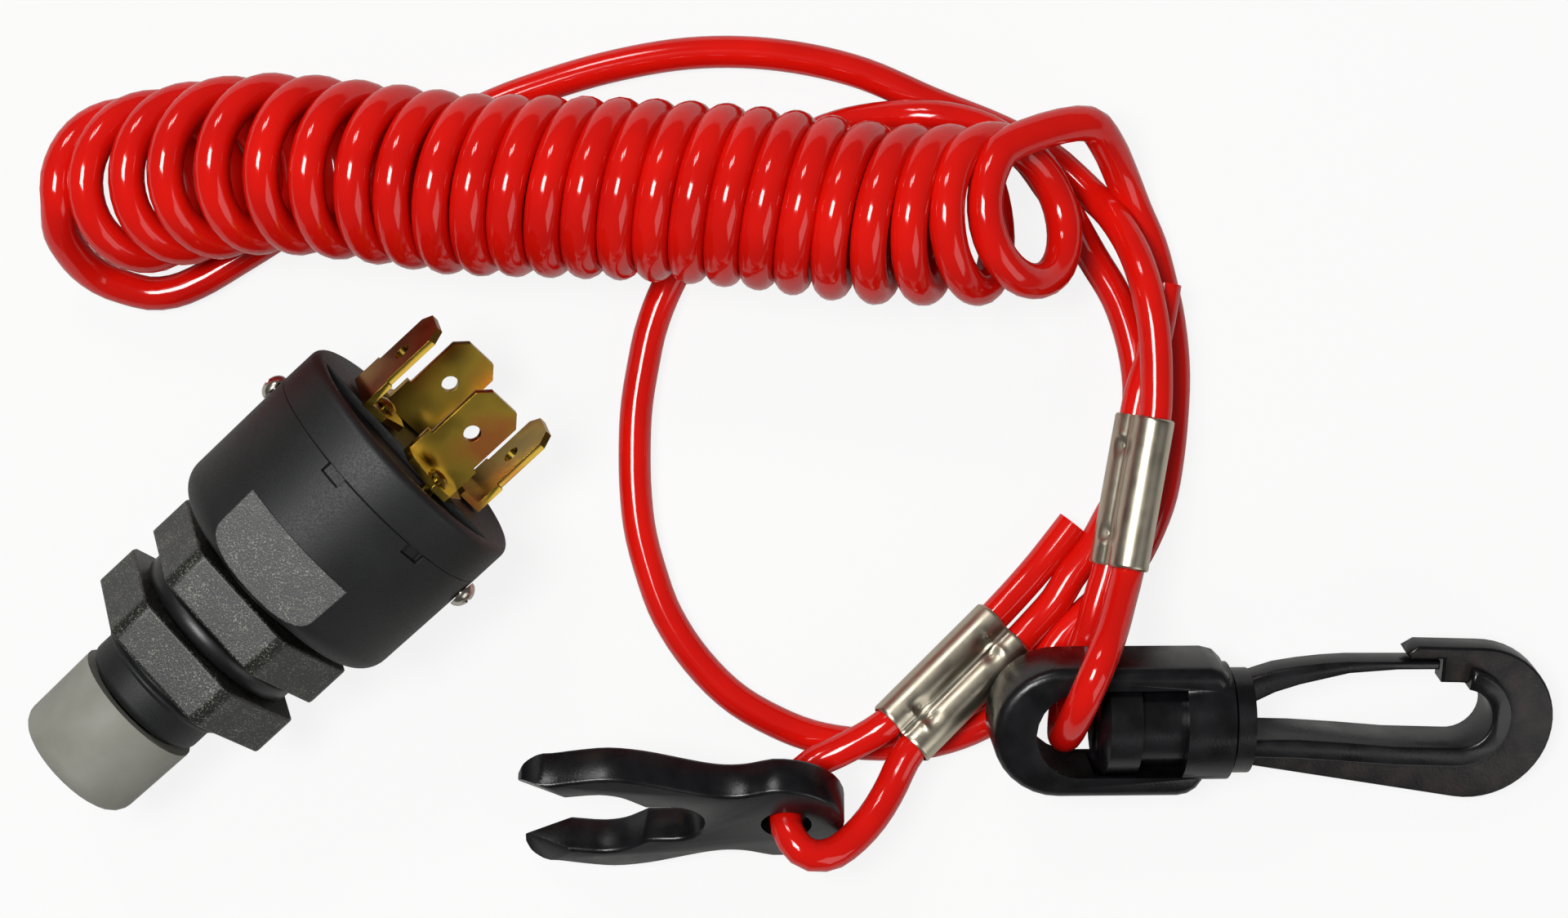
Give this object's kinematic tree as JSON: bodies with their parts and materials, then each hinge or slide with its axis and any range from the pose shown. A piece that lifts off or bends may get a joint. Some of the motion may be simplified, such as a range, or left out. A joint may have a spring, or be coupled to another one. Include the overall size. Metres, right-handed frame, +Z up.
{
  "type": "engine kill switch with lanyard",
  "caption": "Pull-out engine kill switch held by a fork clip on a coiled red lanyard, with a swivel snap hook for the rider",
  "frame": {"origin": "on the table under the middle of the box of the switch, clip, eye and hook, which leaves out the cord and its two ferrules", "axes": "+X runs along the length of the group, to the right in the picture; +Y is the picture's up; +Z is up from the table towards the camera"},
  "size_m": [0.1683, 0.0925, 0.031],
  "materials": {
    "switch_housing": "black moulded plastic, fine grain",
    "nut": "black moulded plastic, grainy",
    "seal_rubber": "black rubber",
    "button": "warm grey matte plastic",
    "black_plastic": "black semi-gloss plastic",
    "terminal_brass": "bright brass",
    "screw_steel": "nickel-plated steel",
    "spring_steel": "spring steel wire",
    "cord": "glossy red polyurethane",
    "ferrule_metal": "satin nickel-plated metal"
  },
  "bodies": {
    "switch": {"front_shell": "switch_housing", "terminal_base": "switch_housing", "terminal_1": "terminal_brass", "terminal_2": "terminal_brass", "terminal_3": "terminal_brass", "terminal_4": "terminal_brass", "terminal_rivet_1": "terminal_brass", "terminal_rivet_2": "terminal_brass", "terminal_rivet_3": "terminal_brass", "terminal_rivet_4": "terminal_brass", "side_screw_1": "screw_steel", "side_screw_2": "screw_steel", "rear_nut": "nut", "stem_seal": "seal_rubber", "return_spring": "spring_steel", "fork_clip": "black_plastic", "swivel_eye": "black_plastic", "lanyard_coil": "cord", "lanyard_tail_hook": "cord", "lanyard_tail_clip": "cord", "ferrule_hook": "ferrule_metal", "ferrule_clip": "ferrule_metal"},
    "button": {"button_cap": "button", "plunger": "black_plastic", "contact_bridge_1": "terminal_brass", "contact_bridge_2": "terminal_brass", "contact_spring_1": "spring_steel", "contact_spring_2": "spring_steel"},
    "washer": {"panel_gasket": "seal_rubber"},
    "front_nut": {"front_nut": "nut"},
    "hook": {"snap_hook": "black_plastic"}
  },
  "joints": [
    {"name": "button_pull", "type": "slide", "parent": "switch", "child": "button", "axis": [-0.7358, -0.6696, -0.1011], "range_m": [0, 0.005], "stiffness_N_per_m": 900, "springref_m": -0.004, "deforming": ["return_spring"]},
    {"name": "washer_slide", "type": "slide", "parent": "switch", "child": "washer", "axis": [-0.7358, -0.6696, -0.1011], "range_m": [0, 0.00525]},
    {"name": "nut_turn", "type": "hinge", "parent": "washer", "child": "front_nut", "pos_m": [-0.06538, -0.00568, 0.01306], "axis": [-0.7358, -0.6696, -0.1011], "range_deg": [-20, 1280]},
    {"name": "hook_swivel", "type": "hinge", "parent": "switch", "child": "hook", "pos_m": [0.04932, -0.01373, 0.00665], "axis": [0.9962, 0, -0.0872], "continuous": true}
  ],
  "couplings": [
    {"joint": "nut_turn", "follows": "washer_slide", "rad_per_m": 4188.8}
  ]
}
